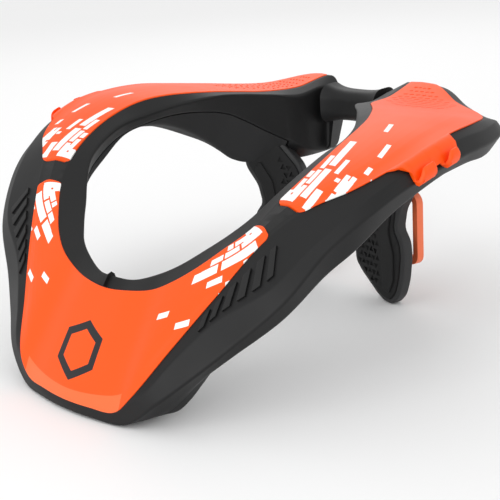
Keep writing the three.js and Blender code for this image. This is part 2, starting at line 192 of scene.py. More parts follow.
# Legs, pads and strap loops, as in the model's source
LEG_WIDTH = 57 * MM
LEG_HEIGHT = 97 * MM
LEG_THICKNESS = 8 * MM
LEG_INNER = 14 * MM
LEG_SHARE = 0.822
LEG_TURN = math.radians(14.6)
PAD_RIM = 3 * MM
PAD_DEPTH = 4 * MM
PAD_PROUD = 1 * MM
PAD_FIT = 0.3 * MM
LEG_ROUND = 5 * MM
LEG_BEVEL = 1.6 * MM
PAD_BEVEL = 0.8 * MM
LEG_OUTLINE = (
    (.50, 1), (.72, 1), (1, .87), (.97, .78), (.83, .66), (.78, .53), (.88, .45), (.90, .35), (.86, .19),
    (.79, .07), (.67, 0), (.52, 0), (.41, .03), (.12, .15), (.02, .21), (0, .31), (.10, .62), (.24, .83),
)
# Raised smooth channel on a pad, as shares of the leg's width and height
CHANNEL = (
    (.55, .09), (.66, .08), (.74, .18), (.75, .36), (.67, .50), (.72, .64), (.84, .78), (.76, .84),
    (.60, .70), (.55, .50),
)
CHANNEL_RISE = 1.2 * MM
CHANNEL_ROUND = 4 * MM
CHANNEL_BEVEL = 1.0 * MM
# Triangular dimples beside the channel. Their field ends at these shares of the leg's width, at
# the foot and at the top of the leg.
NOTCH_LIMIT = (.46, .50)
NOTCH_START = Vector((5.5, 8)) * MM
NOTCH_PITCH = Vector((4.1, 5.0)) * MM
NOTCH_SHIFT = 2.0 * MM
NOTCH_ROWS = 16
NOTCH_COLUMNS = 8
NOTCH_RADIUS = 2.5 * MM
NOTCH_DEPTH = 1.1 * MM
NOTCH_MARGIN = 3.2 * MM
# Ribs on the outer side of the collar, in stations and shares of the side's width
RIB_COUNT = 6
RIB_START = 4.75
RIB_STEP = 0.27
RIB_LONG = 0.15
RIB_SLANT = 0.16
RIB_TOP = 0.30
RIB_LOW = 0.82
RIB_RISE = 1.2 * MM
RIB_SINK = 0.6 * MM
RIB_BEVEL = 0.3 * MM
# Strap loops behind the legs, as in the model's source
LOOP_WIDTH = 34 * MM
LOOP_HEIGHT = 47 * MM
LOOP_BAR = 4.5 * MM
LOOP_DEPTH = 5 * MM
LOOP_ROUND = 7 * MM
LOOP_OUTER = 62.5 * MM
LOOP_FOOT = 25 * MM
LOOP_FIT = 0.3 * MM
LOOP_BEVEL = 1.0 * MM
LUG_WIDTH = 14 * MM
LUG_DEPTH = 5 * MM
LUG_SHARE = 0.98

# Rear bridge: its place as shares of the length and the height, and how much wider its ends are
BRIDGE_DEPTH = 19 * MM
BRIDGE_HEIGHT = 20 * MM
BRIDGE_ROUND = 7 * MM
BRIDGE_REACH = 22 * MM
BRIDGE_BACK = 0.915
BRIDGE_LEVEL = 0.84
BRIDGE_STEPS = 24
BRIDGE_FLARE = 0.30

# Parting groove down the middle of the front
SEAM_HALF = 0.2 * MM
SEAM_DEPTH = 0.5 * MM
# How far a cutter stands out of what it cuts
CUT_CLEAR = 2 * MM


def spot(share, side):
    """The place of a table point, with the brace tipped back a little."""
    y = share[1] * LENGTH
    z = share[2] * HEIGHT
    back = y - LENGTH / 2 + (z - HEIGHT / 2) * TIP_BACK
    return Vector((side * share[0] * HALF_WIDTH, back, z - y * TIP_BACK))


def catmull_rom(points, t):
    """A point of the open centripetal Catmull-Rom curve through points, t from 0 to 1."""
    place = (len(points) - 1) * t
    index = min(int(math.floor(place)), len(points) - 2)
    weight = place - index
    p1 = points[index]
    p2 = points[index + 1]
    p0 = points[index - 1] if index > 0 else p1 * 2 - p2
    p3 = points[index + 2] if index + 2 < len(points) else p2 * 2 - p1
    d0 = max((p1 - p0).length ** 0.5, 1e-9)
    d1 = max((p2 - p1).length ** 0.5, 1e-9)
    d2 = max((p3 - p2).length ** 0.5, 1e-9)
    t1 = ((p1 - p0) / d0 - (p2 - p0) / (d0 + d1) + (p2 - p1) / d1) * d1
    t2 = ((p2 - p1) / d1 - (p3 - p1) / (d1 + d2) + (p3 - p2) / d2) * d1
    c2 = p1 * -3 + p2 * 3 - t1 * 2 - t2
    c3 = p1 * 2 - p2 * 2 + t1 + t2
    return p1 + t1 * weight + c2 * weight ** 2 + c3 * weight ** 3


def make_rails():
    """The points of each column from the right lobe round the front to the left lobe."""
    rails = {}
    for column, name in enumerate(COLUMNS):
        right = [spot(row[column], -1) for row in reversed(SECTIONS[1:])]
        left = [spot(row[column], 1) for row in SECTIONS]
        rails[name] = right + left
    return rails


RAILS = make_rails()


def section(station):
    """Every named point of the cross-section at a station, from -LAST (right) to LAST (left)."""
    t = (station + LAST) / (2 * LAST)
    s = {name: catmull_rom(points, t) for name, points in RAILS.items()}
    across = s["outer"] - s["inner"]
    s["out"] = Vector((across.x, across.y, 0)).normalized()
    s["along"] = across.normalized()
    s["up"] = (Vector((0, 0, 1)) - s["along"] * s["along"].z).normalized()
    fade = min(max(1 - (abs(station) - FADE_START) / FADE_LONG, FADE_LEAST), 1)
    wing = min(max((abs(station) - WING_START) / WING_LONG, 0), 1)
    s["border"] = WING_BORDER * wing
    s["mid"] = s["inner"].lerp(s["outer"], 0.5) + s["up"] * PANEL_CROWN * (1 - WING_FLAT * wing)
    s["fold"] = s["inner"].lerp(s["outer"], FOLD_SHARE) + s["up"] * FOLD_LIFT * fade
    return s


def stations(start, end, per_station=SLICES):
    count = max(2, round(abs(end - start) * per_station))
    return [start + (end - start) * i / count for i in range(count + 1)]


def rounded(points, radii, closed=True):
    """The points with each corner replaced by a short curve of ARC_POINTS points."""
    result = []
    count = len(points)
    for i, point in enumerate(points):
        if not closed and i in (0, count - 1):
            result.append(point)
            continue
        before = points[i - 1] - point
        after = points[(i + 1) % count] - point
        radius = radii[i]
        reach_before = min(radius, before.length * LONGEST_SHARE)
        reach_after = min(radius, after.length * LONGEST_SHARE)
        a = point + before.normalized() * reach_before if before.length > 1e-9 else point
        b = point + after.normalized() * reach_after if after.length > 1e-9 else point
        middle = point + (point - (a + b) / 2) * FULLNESS
        for k in range(ARC_POINTS):
            t = k / (ARC_POINTS - 1)
            result.append(a * (1 - t) ** 2 + middle * 2 * t * (1 - t) + b * t ** 2)
    return result


def new_object(name, mesh):
    obj = bpy.data.objects.new(name, mesh)
    bpy.context.scene.collection.objects.link(obj)
    return obj


def mesh_object(name, vertices, faces):
    mesh = bpy.data.meshes.new(name)
    mesh.from_pydata([tuple(v) for v in vertices], [], faces)
    mesh.validate()
    obj = new_object(name, mesh)
    face_out(obj)
    return obj


def face_out(obj):
    """Turns the faces of a closed body outwards."""
    bm = bmesh.new()
    bm.from_mesh(obj.data)
    bmesh.ops.recalc_face_normals(bm, faces=bm.faces)
    if bm.calc_volume(signed=True) < 0:
        bmesh.ops.reverse_faces(bm, faces=bm.faces)
    bm.to_mesh(obj.data)
    bm.free()


def loft(name, loops):
    """A closed body through loops with the same number of points."""
    count = len(loops[0])
    vertices = [point for loop in loops for point in loop]
    faces = []
    for row in range(len(loops) - 1):
        for i in range(count):
            a = row * count + i
            b = row * count + (i + 1) % count
            faces.append((a, b, b + count, a + count))
    faces.append(tuple(range(count))[::-1])
    top = (len(loops) - 1) * count
    faces.append(tuple(range(top, top + count)))
    return mesh_object(name, vertices, faces)


def add_prism(bm, rings):
    """Adds a closed body between two rings of points."""
    low, high = [[bm.verts.new(point) for point in ring] for ring in rings]
    count = len(low)
    for k in range(count):
        bm.faces.new((low[k], low[(k + 1) % count], high[(k + 1) % count], high[k]))
    bm.faces.new(low[::-1])
    bm.faces.new(high)


def body_of(name, bm):
    """The object made of a bmesh, which is freed."""
    bmesh.ops.recalc_face_normals(bm, faces=bm.faces)
    mesh = bpy.data.meshes.new(name)
    bm.to_mesh(mesh)
    bm.free()
    return new_object(name, mesh)


def apply_modifiers(obj):
    depsgraph = bpy.context.evaluated_depsgraph_get()
    mesh = bpy.data.meshes.new_from_object(obj.evaluated_get(depsgraph), depsgraph=depsgraph)
    old = obj.data
    obj.modifiers.clear()
    obj.data = mesh
    bpy.data.meshes.remove(old)


def boolean(obj, other, operation):
    """Joins the other object to this one or cuts it away, and removes the other."""
    modifier = obj.modifiers.new("cut", "BOOLEAN")
    modifier.operation = operation
    modifier.object = other
    modifier.solver = "EXACT"
    apply_modifiers(obj)
    bpy.data.objects.remove(other)


def bevelled(obj, width, segments=2, angle=30):
    modifier = obj.modifiers.new("bevel", "BEVEL")
    modifier.width = width
    modifier.segments = segments
    modifier.limit_method = "ANGLE"
    modifier.angle_limit = math.radians(angle)
    modifier.use_clamp_overlap = True
    apply_modifiers(obj)


def smooth(obj, angle=35):
    obj.data.shade_smooth()
    obj.data.set_sharp_from_angle(angle=math.radians(angle))
    modifier = obj.modifiers.new("weighted", "WEIGHTED_NORMAL")
    modifier.keep_sharp = True
    modifier.weight = 60
    apply_modifiers(obj)


def skin_loop(s):
    """The points of the shell's outer skin and the radius of each."""
    names = ["sill", "crest", "inner", "mid", "fold", "outer", "edge", "skirt", "foot"]
    points = [s[name] for name in names]
    radii = [ROUNDING.get(name, 0) for name in names]
    return points, radii


def hollow(s, wall):
    """The points of the hollow's surface, a wall away from the skin."""
    to_sole = (s["sole"] - s["foot"]).normalized()
    return [
        s["foot"] + to_sole * wall,
        s["outer"] - s["up"] * wall - s["along"] * wall,
        s["inner"] - s["up"] * wall + s["along"] * (wall - SHELL_WALL / 2),
        s["sill"] + s["out"] * wall,
    ]


def shell_loop(station):
    s = section(station)
    points, radii = skin_loop(s)
    inside = hollow(s, SHELL_WALL)
    return rounded(points + inside, radii + [HOLLOW_ROUND] * len(inside))


def full_loop(station):
    s = section(station)
    points, radii = skin_loop(s)
    return rounded(points + [s["sole"], s["brink"]], radii + [SOLE_ROUND, BRINK_ROUND])


def liner_loop(station):
    s = section(station)
    inside = hollow(s, SHELL_WALL + LINER_FIT)
    lip = (s["brink"] - s["sill"]).normalized() * LINER_LIP
    points = inside + [inside[-1] + lip, s["sill"] + lip, s["brink"], s["sole"]]
    return rounded(points, [HOLLOW_ROUND] * 5 + [LIP_ROUND, SOLE_ROUND, LINER_SOLE_ROUND])


def table_value(table, place):
    """The table's value at a place, eased between its rows."""
    for (a, low), (b, high) in zip(table, table[1:]):
        if a <= place <= b:
            t = (place - a) / (b - a)
            return low + (high - low) * t * t * (3 - 2 * t)
    return table[-1][1]


def flap_points(station, corner):
    """The upper and lower side of the flap that hangs from the cover's edge at a station."""
    ahead = section(abs(station) + NUDGE)["outer"] - section(abs(station))["outer"]
    outwards = Vector((ahead.y, -ahead.x, 0)).normalized()
    if station < 0:
        outwards.x = -outwards.x
    share = table_value(FLAPS, abs(station))
    curve = [Vector((x, y)) * MM for x, y in HOOK_CURVE]
    upper = []
    lower = []
    for k in range(HOOK_STEPS + 1):
        t = share * k / HOOK_STEPS
        here = catmull_rom(curve, t)
        after = catmull_rom(curve, min(t + HOOK_NUDGE, 1))
        before = catmull_rom(curve, max(t - HOOK_NUDGE, 0))
        step = (after - before).normalized()
        thinner_end = min(1, (HOOK_STEPS - k) / TIP_STEPS + TIP_SHARE)
        thinner_flap = min(1, share * SHORT_GAIN + SHORT_SHARE)
        under = here + Vector((step.y, -step.x)) * HOOK_WALL * thinner_end * thinner_flap
        upper.append(corner + outwards * here.x + Vector((0, 0, here.y)))
        lower.append(corner + outwards * under.x + Vector((0, 0, under.y)))
    return upper, lower[::-1]


def panel_profile(station, inset, below, above, flap=False):
    """The panel's cross-section: a crowned top with rounded edges, and a plain lower face."""
    s = section(station)
    width = (s["outer"] - s["inner"]).length
    inset = min(inset + s["border"], width * LONGEST_SHARE)
    start = s["inner"] + s["along"] * inset
    end = s["outer"] - s["along"] * inset
    fold_inset = max(0, inset - (s["outer"] - s["fold"]).length + FOLD_ROOM)
    fold = s["fold"] - s["along"] * fold_inset
    control = s["mid"] * 2 - (start + fold) * 0.5
    top = []
    for k in range(1, CROWN_ROWS):
        t = k / CROWN_ROWS
        top.append(start * (1 - t) ** 2 + control * 2 * t * (1 - t) + fold * t ** 2)
    points = [start - s["up"] * below, start + s["up"] * above] + [p + s["up"] * above for p in top]
    points.append(fold + s["up"] * above)
    radii = [0, PANEL_ROUND] + [CROWN_ROUND] * len(top) + [FOLD_ROUND]
    if flap:
        hang, back = flap_points(station, end + s["up"] * above)
        upper = rounded(points + [hang[0]], radii + [0], closed=False) + hang[1:] + back
        upper.append(end - s["up"] * below)
    else:
        points += [end + s["up"] * above, end - s["up"] * below]
        upper = rounded(points, radii + [PANEL_ROUND, 0], closed=False)
    lower = [p - s["up"] * below for p in ([fold] + top[::-1])]
    return upper + lower


def panel_stations(start, end):
    """Stations and insets: both ends are rounded by the corner radius."""
    near_start = PANEL_CORNER / (section(start)["mid"] - section(start + 1)["mid"]).length
    near_end = PANEL_CORNER / (section(end)["mid"] - section(end - 1)["mid"]).length
    angles = [math.radians(angle) for angle in range(0, 91, ARC_STEP)]
    shares = [1 - math.cos(angle) for angle in angles]
    insets = [PANEL_CORNER * (1 - math.sin(angle)) for angle in angles]
    first = [(start + near_start * share, inset) for share, inset in zip(shares, insets)]
    second = [(end - near_end * share, inset) for share, inset in zip(shares, insets)]
    middle = [(station, 0) for station in stations(start + near_start, end - near_end)[1:-1]]
    return first + middle + second[::-1]


def panel(name, ends, flap=False):
    """A cover panel, with its length along the brace and its width stored as UVs in metres."""
    places = panel_stations(*ends)
    if flap:
        fine = stations(math.copysign(FLAP_START, ends[0]), math.copysign(FLAP_END, ends[0]), FLAP_SLICES)
        coarse = [place for place in places if not FLAP_START <= abs(place[0]) <= FLAP_END]
        places = sorted(coarse + [(station, 0) for station in fine])
    loops = [panel_profile(station, inset, PANEL_THICKNESS, PANEL_PROUD, flap) for station, inset in places]
    middles = [section(station)["mid"] for station, inset in places]
    ways = [0.0]
    for a, b in zip(middles, middles[1:]):
        ways.append(ways[-1] + (b - a).length)
    obj = loft(name, loops)
    uvs = []
    for (station, inset), loop, way in zip(places, loops, ways):
        s = section(station)
        uvs += [(way, (point - s["inner"]).dot(s["along"])) for point in loop]
    layer = obj.data.uv_layers.new(name="along")
    for corner in obj.data.loops:
        layer.data[corner.index].uv = uvs[corner.vertex_index]
    return obj, ways[-1]


def recess(ends):
    """The cutter of a cover's recess: the cover's form with a gap all round."""
    loops = [panel_profile(station, inset - PANEL_GAP, PANEL_THICKNESS + 2 * PANEL_GAP, RECESS_RISE)
             for station, inset in panel_stations(*ends)]
    for index, (station, way) in ((0, (ends[0], -1)), (-1, (ends[1], 1))):
        s = section(station)
        onwards = s["up"].cross(s["along"]) * way
        loops[index] = [p + onwards * 2 * PANEL_GAP for p in loops[index]]
    return loft("recess", loops)


def prism(name, outline, depth, matrix):
    """A flat outline given a depth along its normal and placed by a matrix."""
    count = len(outline)
    vertices = [matrix @ Vector((x, y, z)) for z in (0, depth) for x, y in outline]
    faces = [(i, (i + 1) % count, (i + 1) % count + count, i + count) for i in range(count)]
    faces += [tuple(range(count))[::-1], tuple(range(count, 2 * count))]
    return mesh_object(name, vertices, faces)


def leg_matrix(forward, side):
    """Places a leg's outline, x outwards and y up, some way forward of the leg's front face."""
    outwards = Vector((math.cos(LEG_TURN) * side, -math.sin(LEG_TURN), 0))
    front = Vector((-math.sin(LEG_TURN) * side, -math.cos(LEG_TURN), 0))
    place = Vector((LEG_INNER * side, (LEG_SHARE - 0.5) * LENGTH, 0)) + front * forward
    matrix = Matrix((outwards, Vector((0, 0, 1)), front)).transposed().to_4x4()
    matrix.translation = place
    return matrix


def inset_outline(points, distance):
    """The outline with every point moved inwards."""
    result = []
    area = sum(a.x * b.y - b.x * a.y for a, b in zip(points, points[1:] + points[:1]))
    turn = 1 if area > 0 else -1
    for i, point in enumerate(points):
        edge = (points[(i + 1) % len(points)] - points[i - 1]).normalized()
        result.append(Vector((point.x - turn * edge.y * distance, point.y + turn * edge.x * distance)))
    return result


def leg_outline(inset=0.0):
    points = [Vector((x * LEG_WIDTH, y * LEG_HEIGHT)) for x, y in LEG_OUTLINE]
    return rounded(inset_outline(points, inset), [LEG_ROUND] * len(points))


def rounded_box(width, tall, radius, steps=8):
    points = []
    for cx, cy, turn in ((1, 1, 0), (-1, 1, 90), (-1, -1, 180), (1, -1, 270)):
        for k in range(steps + 1):
            angle = math.radians(turn + 90 * k / steps)
            points.append(Vector((cx * (width / 2 - radius) + radius * math.cos(angle),
                                  cy * (tall / 2 - radius) + radius * math.sin(angle))))
    return points


# Materials: colours as linear red, green and blue
ORANGE = (1.0, 0.092, 0.004)
# Painted light: the paler orange of the lit band below the front cover's fold
PAINTED_LIGHT_ORANGE = (1.0, 0.160, 0.045)
LOOP_COLOUR = (1.0, 0.20, 0.075)
PRINT_WHITE = (0.93, 0.92, 0.90)
RING_DARK = (0.02, 0.02, 0.022)
FLOOR_PALE = (0.93, 0.93, 0.93)
# The blue of a dark plastic as a share of its red, and how much paler its worn edges are
BLUE_SHARE = 1.03
WEAR = 3
# Range of the surface's pointiness over which an edge wears, and the most wear
WEAR_RANGE = (0.53, 0.62)
WEAR_MOST = 0.55

# Dashes of the print: length and width of a cell, how far the rows reach from the cover's end, and
# the seed of their pattern
DASHES = (
    (0.013, 0.0042, 0.088, 3.0),
    (0.026, 0.0064, 0.066, 8.0),
)
# Slant of the rows, shift of the cells from row to row, chance of a dash at the end of a cover, and
# the share of a cell that a dash takes
DASH_SLANT = 0.14
DASH_STAGGER = 0.37
DASH_CHANCE = 0.42
DASH_LONG = 0.88
DASH_WIDE = 0.80
PRINT_START = 0.002
# The print stops short of the hooks, this far across the cover
PRINT_EDGE = 0.0445

# Plain dark hexagon ring printed on the front cover: its place from the inner edge, size and half
# width
RING_PLACE = 0.036
RING_SIZE = 0.0125
RING_BAND = 0.0022

# Painted light: the band below the front cover's fold is painted a paler orange, standing in for the front
# light falling on it; where it starts across the cover, and its half length
PAINTED_LIGHT_ACROSS = 0.0570
PAINTED_LIGHT_HALF = 0.040


def principled(name, colour, roughness, **sockets):
    material = bpy.data.materials.new(name)
    material.use_nodes = True
    shader = material.node_tree.nodes["Principled BSDF"]
    shader.inputs["Base Color"].default_value = (*colour, 1)
    shader.inputs["Roughness"].default_value = roughness
    for socket, value in sockets.items():
        shader.inputs[socket.replace("_", " ")].default_value = value
    return material, shader


def add(material, kind, **values):
    """A new node with its properties and the constants of its sockets set."""
    node = material.node_tree.nodes.new(kind)
    for name, value in values.items():
        if hasattr(node, name):
            setattr(node, name, value)
        else:
            node.inputs[name.replace("_", " ")].default_value = value
    return node


def link(material, source, target):
    material.node_tree.links.new(source, target)


def calc(material, operation, *values):
    """A math node whose inputs are numbers or sockets; its output socket is returned."""
    node = material.node_tree.nodes.new("ShaderNodeMath")
    node.operation = operation
    for index, value in enumerate(values):
        if isinstance(value, (int, float)):
            node.inputs[index].default_value = value
        else:
            link(material, value, node.inputs[index])
    return node.outputs[0]


def grain(material, shader, scale, strength, distance):
    """Fine moulded bumps. The node of the texture's place is returned."""
    place = add(material, "ShaderNodeTexCoord")
    noise = add(material, "ShaderNodeTexNoise", Scale=scale, Detail=3.0, Roughness=0.6)
    link(material, place.outputs["Object"], noise.inputs["Vector"])
    bump = add(material, "ShaderNodeBump", Strength=strength, Distance=distance)
    link(material, noise.outputs["Fac"], bump.inputs["Height"])
    link(material, bump.outputs["Normal"], shader.inputs["Normal"])
    return place


def varied(material, shader, place, scale, low, high):
    """Lets the roughness wander between low and high."""
    noise = add(material, "ShaderNodeTexNoise", Scale=scale, Detail=2.0)
    spread = add(material, "ShaderNodeMapRange", To_Min=low, To_Max=high)
    link(material, place.outputs["Object"], noise.inputs["Vector"])
    link(material, noise.outputs["Fac"], spread.inputs["Value"])
    link(material, spread.outputs["Result"], shader.inputs["Roughness"])


def mixed(material, factor, first, second):
    """The second colour over the first by a factor, each a colour or a socket."""
    mix = add(material, "ShaderNodeMix", data_type="RGBA")
    link(material, factor, mix.inputs["Factor"])
    for socket, colour in (("A", first), ("B", second)):
        if isinstance(colour, tuple):
            mix.inputs[socket].default_value = (*colour, 1)
        else:
            link(material, colour, mix.inputs[socket])
    return mix.outputs["Result"]


def black_plastic(name, shade, roughness, scale=2600, strength=0.25, specular=0.32):
    """Dark moulded plastic or foam, a little paler along worn edges."""
    colour = (shade, shade, shade * BLUE_SHARE)
    material, shader = principled(name, colour, roughness, Specular_IOR_Level=specular)
    place = grain(material, shader, scale, strength, 0.12 * MM)
    varied(material, shader, place, 55, roughness - 0.05, roughness + 0.06)
    shape = add(material, "ShaderNodeNewGeometry")
    edge = add(material, "ShaderNodeMapRange", From_Min=WEAR_RANGE[0], From_Max=WEAR_RANGE[1],
               To_Min=0.0, To_Max=WEAR_MOST)
    link(material, shape.outputs["Pointiness"], edge.inputs["Value"])
    scuffs = add(material, "ShaderNodeTexNoise", Scale=90.0, Detail=4.0)
    link(material, place.outputs["Object"], scuffs.inputs["Vector"])
    worn = calc(material, "MULTIPLY", edge.outputs["Result"], scuffs.outputs["Fac"])
    paler = (shade * WEAR, shade * WEAR, shade * WEAR)
    link(material, mixed(material, worn, colour, paler), shader.inputs["Base Color"])
    return material


def orange_plastic(name, colour, roughness):
    material, shader = principled(name, colour, roughness)
    place = grain(material, shader, 1800, 0.08, 0.08 * MM)
    varied(material, shader, place, 40, roughness - 0.04, roughness + 0.05)
    return material


def dashes(material, away, across, cell_long, cell_wide, reach, seed):
    """Slanted rows of dashes whose cells are filled by chance, less often further away."""
    slanted = calc(material, "ADD", across, calc(material, "MULTIPLY", away, DASH_SLANT))
    rows = calc(material, "DIVIDE", slanted, cell_wide)
    row = calc(material, "FLOOR", rows)
    shifted = calc(material, "ADD", calc(material, "DIVIDE", away, cell_long),
                   calc(material, "MULTIPLY", row, DASH_STAGGER))
    vector = add(material, "ShaderNodeCombineXYZ")
    link(material, row, vector.inputs[0])
    link(material, calc(material, "FLOOR", shifted), vector.inputs[1])
    vector.inputs[2].default_value = seed
    chance = add(material, "ShaderNodeTexWhiteNoise", noise_dimensions="3D")
    link(material, vector.outputs[0], chance.inputs["Vector"])
    near = calc(material, "SUBTRACT", 1.0, calc(material, "DIVIDE", away, reach))
    limit = calc(material, "MULTIPLY", near, DASH_CHANCE)
    filled = calc(material, "LESS_THAN", chance.outputs["Value"], limit)
    in_length = calc(material, "LESS_THAN", calc(material, "FRACT", shifted), DASH_LONG)
    in_width = calc(material, "LESS_THAN", calc(material, "FRACT", rows), DASH_WIDE)
    return calc(material, "MULTIPLY", calc(material, "MULTIPLY", filled, in_length), in_width)


def hexagon_band(material, sideways, across):
    """One inside the band of a hexagon ring, and zero elsewhere."""
    upright = calc(material, "ABSOLUTE", calc(material, "SUBTRACT", across, RING_PLACE))
    corner = calc(material, "ADD", calc(material, "MULTIPLY", sideways, math.cos(math.radians(60))),
                  calc(material, "MULTIPLY", upright, math.sin(math.radians(60))))
    size = calc(material, "MAXIMUM", corner, sideways)
    off = calc(material, "ABSOLUTE", calc(material, "SUBTRACT", size, RING_SIZE))
    return calc(material, "LESS_THAN", off, RING_BAND)


def cover_material(name, first, second, ring):
    """Orange plastic with rows of slanted white dashes, dense near the ends at first and second; with ring,
    also a painted highlight band below the fold and a printed dark hexagon ring.
    """
    material, shader = principled(name, ORANGE, 0.42, Specular_IOR_Level=0.28)
    place = grain(material, shader, 1800, 0.06, 0.08 * MM)
    varied(material, shader, place, 40, 0.38, 0.48)
    uv = add(material, "ShaderNodeUVMap")
    uv.uv_map = "along"
    parts = add(material, "ShaderNodeSeparateXYZ")
    link(material, uv.outputs["UV"], parts.inputs[0])
    along = parts.outputs["X"]
    across = parts.outputs["Y"]
    to_first = calc(material, "ABSOLUTE", calc(material, "SUBTRACT", along, first))
    to_second = calc(material, "ABSOLUTE", calc(material, "SUBTRACT", along, second))
    away = calc(material, "MINIMUM", to_first, to_second)
    fine, coarse = [dashes(material, away, across, *row) for row in DASHES]
    white = calc(material, "MAXIMUM", fine, coarse)
    white = calc(material, "MULTIPLY", white, calc(material, "GREATER_THAN", away, PRINT_START))
    white = calc(material, "MULTIPLY", white, calc(material, "LESS_THAN", across, PRINT_EDGE))
    colour = mixed(material, white, ORANGE, PRINT_WHITE)
    if ring:
        sideways = calc(material, "ABSOLUTE", calc(material, "SUBTRACT", along, second / 2))
        # Painted highlight: below the fold the orange is painted paler, standing in for the front light
        # falling on that band
        below = calc(material, "GREATER_THAN", across, PAINTED_LIGHT_ACROSS)
        below = calc(material, "MULTIPLY", below, calc(material, "LESS_THAN", sideways, PAINTED_LIGHT_HALF))
        colour = mixed(material, below, colour, PAINTED_LIGHT_ORANGE)
        colour = mixed(material, hexagon_band(material, sideways, across), colour, RING_DARK)
    link(material, colour, shader.inputs["Base Color"])
    return material


CHASSIS_BLACK = black_plastic("chassis_black", 0.010, 0.46, specular=0.24)
RIB_BLACK = black_plastic("rib_black", 0.008, 0.40)
LINER_BLACK = black_plastic("liner_black", 0.020, 0.75, 1400, 0.35)
LEG_GREY = black_plastic("leg_grey", 0.030, 0.50)
PAD_BLACK = black_plastic("pad_black", 0.010, 0.70, 1500, 0.3)
LOOP_ORANGE = orange_plastic("loop_orange", LOOP_COLOUR, 0.30)


# Pieces

def dress(obj, material, slot, *nodes):
    """Gives a piece its material and its body, and hides the nodes that it stands for. The slot is not
    used.
    """
    obj.data.materials.clear()
    obj.data.materials.append(material)
    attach(obj, "root")
    if nodes:
        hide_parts(*nodes)


def make_bridge():
    """The bridge between the lobes, flaring where it runs into them."""
    outline = rounded_box(BRIDGE_DEPTH, BRIDGE_HEIGHT, BRIDGE_ROUND)
    middle = Vector((0, (BRIDGE_BACK - 0.5) * LENGTH, BRIDGE_LEVEL * HEIGHT))
    loops = []
    for k in range(BRIDGE_STEPS + 1):
        x = BRIDGE_REACH * (2 * k / BRIDGE_STEPS - 1)
        flare = 1 + BRIDGE_FLARE * (abs(x) / BRIDGE_REACH) ** 3
        loops.append([middle + Vector((x, p.x * flare, p.y * flare)) for p in outline])
    return loft("bridge", loops)


def make_seam():
    """A strip along the middle of the front, which cuts the fine parting groove."""
    points, radii = skin_loop(section(0))
    line = rounded(points, radii, closed=False)
    loops = []
    for x in (-SEAM_HALF, SEAM_HALF):
        inner = []
        outer = []
        for before, here, after in zip([line[0]] + line[:-1], line, line[1:] + [line[-1]]):
            way = after - before
            normal = Vector((0, way.z, -way.y)).normalized()
            inner.append(Vector((x, here.y, here.z)) - normal * SEAM_DEPTH)
            outer.append(Vector((x, here.y, here.z)) + normal * CUT_CLEAR)
        loops.append(inner + outer[::-1])
    return loft("seam", loops)


def make_chassis():
    """The collar with both lobes and the bridge, with the groove and the covers' recesses cut."""
    body = loft("shell", [shell_loop(station) for station in stations(-HOLLOW_END, HOLLOW_END)])
    for start, end in ((HOLLOW_END, LAST), (-LAST, -HOLLOW_END)):
        boolean(body, loft("lobe", [full_loop(station) for station in stations(start, end)]), "UNION")
    boolean(body, make_bridge(), "UNION")
    boolean(body, make_seam(), "DIFFERENCE")
    for ends in ((-FRONT_END, FRONT_END), (SIDE_START, SIDE_END), (-SIDE_END, -SIDE_START)):
        boolean(body, recess(ends), "DIFFERENCE")
    for vertex in body.data.vertices:
        vertex.co.z = max(vertex.co.z, 0)
    smooth(body)
    dress(body, CHASSIS_BLACK, "chassis_black", "chassis")
    return body


def make_liner():
    """The foam in the shell's hollow, which ends just short of the lobes."""
    end = HOLLOW_END - NUDGE
    body = loft("foam_liner", [liner_loop(station) for station in stations(-end, end)])
    smooth(body)
    dress(body, LINER_BLACK, "liner_foam", "liner")
    return body


def wing_dimples(side, cover):
    """Short slanted dimples in staggered rows on the wide part of a side cover, as one cutter."""
    cutter = bmesh.new()
    mirror = Vector((side, 1, 1))
    for row in range(DIMPLE_ROWS):
        station = DIMPLE_START + DIMPLE_STEP * row
        here = section(station)
        ahead = (section(station + 4 * NUDGE)["mid"] - here["mid"]).normalized()
        half = min(DIMPLE_HALF, DIMPLE_HALF_SHARE * (here["outer"] - here["inner"]).length)
        for column in range(DIMPLE_COLUMNS):
            across = DIMPLE_ACROSS + DIMPLE_PITCH * (column + (0.5 if row % 2 else 0))
            off_row = abs((row - FIELD_MIDDLE[0]) / FIELD_HALF[0])
            off_side = abs((across - FIELD_MIDDLE[1]) / FIELD_HALF[1])
            if off_row + off_side > FIELD_LIMIT:
                continue
            above = (here["inner"].lerp(here["outer"], across) + here["up"] * RAY_RISE) * mirror
            found, surface, normal, _ = cover.ray_cast(above, -here["up"] * mirror)
            if not found:
                continue
            long = (here["along"] + ahead * DIMPLE_SLANT) * mirror
            long = (long - normal * long.dot(normal)).normalized()
            wide = normal.cross(long)
            angles = [2 * math.pi * (k + 0.5) / DIMPLE_SIDES for k in range(DIMPLE_SIDES)]
            ellipse = [long * half * math.cos(angle) + wide * DIMPLE_WIDE * math.sin(angle)
                       for angle in angles]
            add_prism(cutter, [[surface + normal * z + step for step in ellipse]
                               for z in (-DIMPLE_DEPTH, CUT_CLEAR)])
    return body_of("dimples", cutter)


def make_panels():
    """The front cover, and the side covers with their wing dimples."""
    front, length = panel("front_cover", (-FRONT_END, FRONT_END))
    smooth(front)
    dress(front, cover_material("front_print", 0, length, True), "cover_orange", "front_plate")
    for side, word in ((1, "left"), (-1, "right")):
        ends = (SIDE_START, SIDE_END) if side > 0 else (-SIDE_END, -SIDE_START)
        cover, length = panel("cover_" + word, ends, flap=True)
        boolean(cover, wing_dimples(side, cover), "DIFFERENCE")
        smooth(cover)
        start = 0 if side > 0 else length
        printed = cover_material("print_" + word, start, start, False)
        dress(cover, printed, "cover_orange", "side_cover_" + word)


def copy_of(obj):
    return new_object("copy", obj.data.copy())


def inside_outline(x, y, outline):
    """Whether a point lies inside a closed outline."""
    odd = False
    for a, b in zip(outline, outline[1:] + outline[:1]):
        if (a.y > y) != (b.y > y) and x < a.x + (y - a.y) * (b.x - a.x) / (b.y - a.y):
            odd = not odd
    return odd


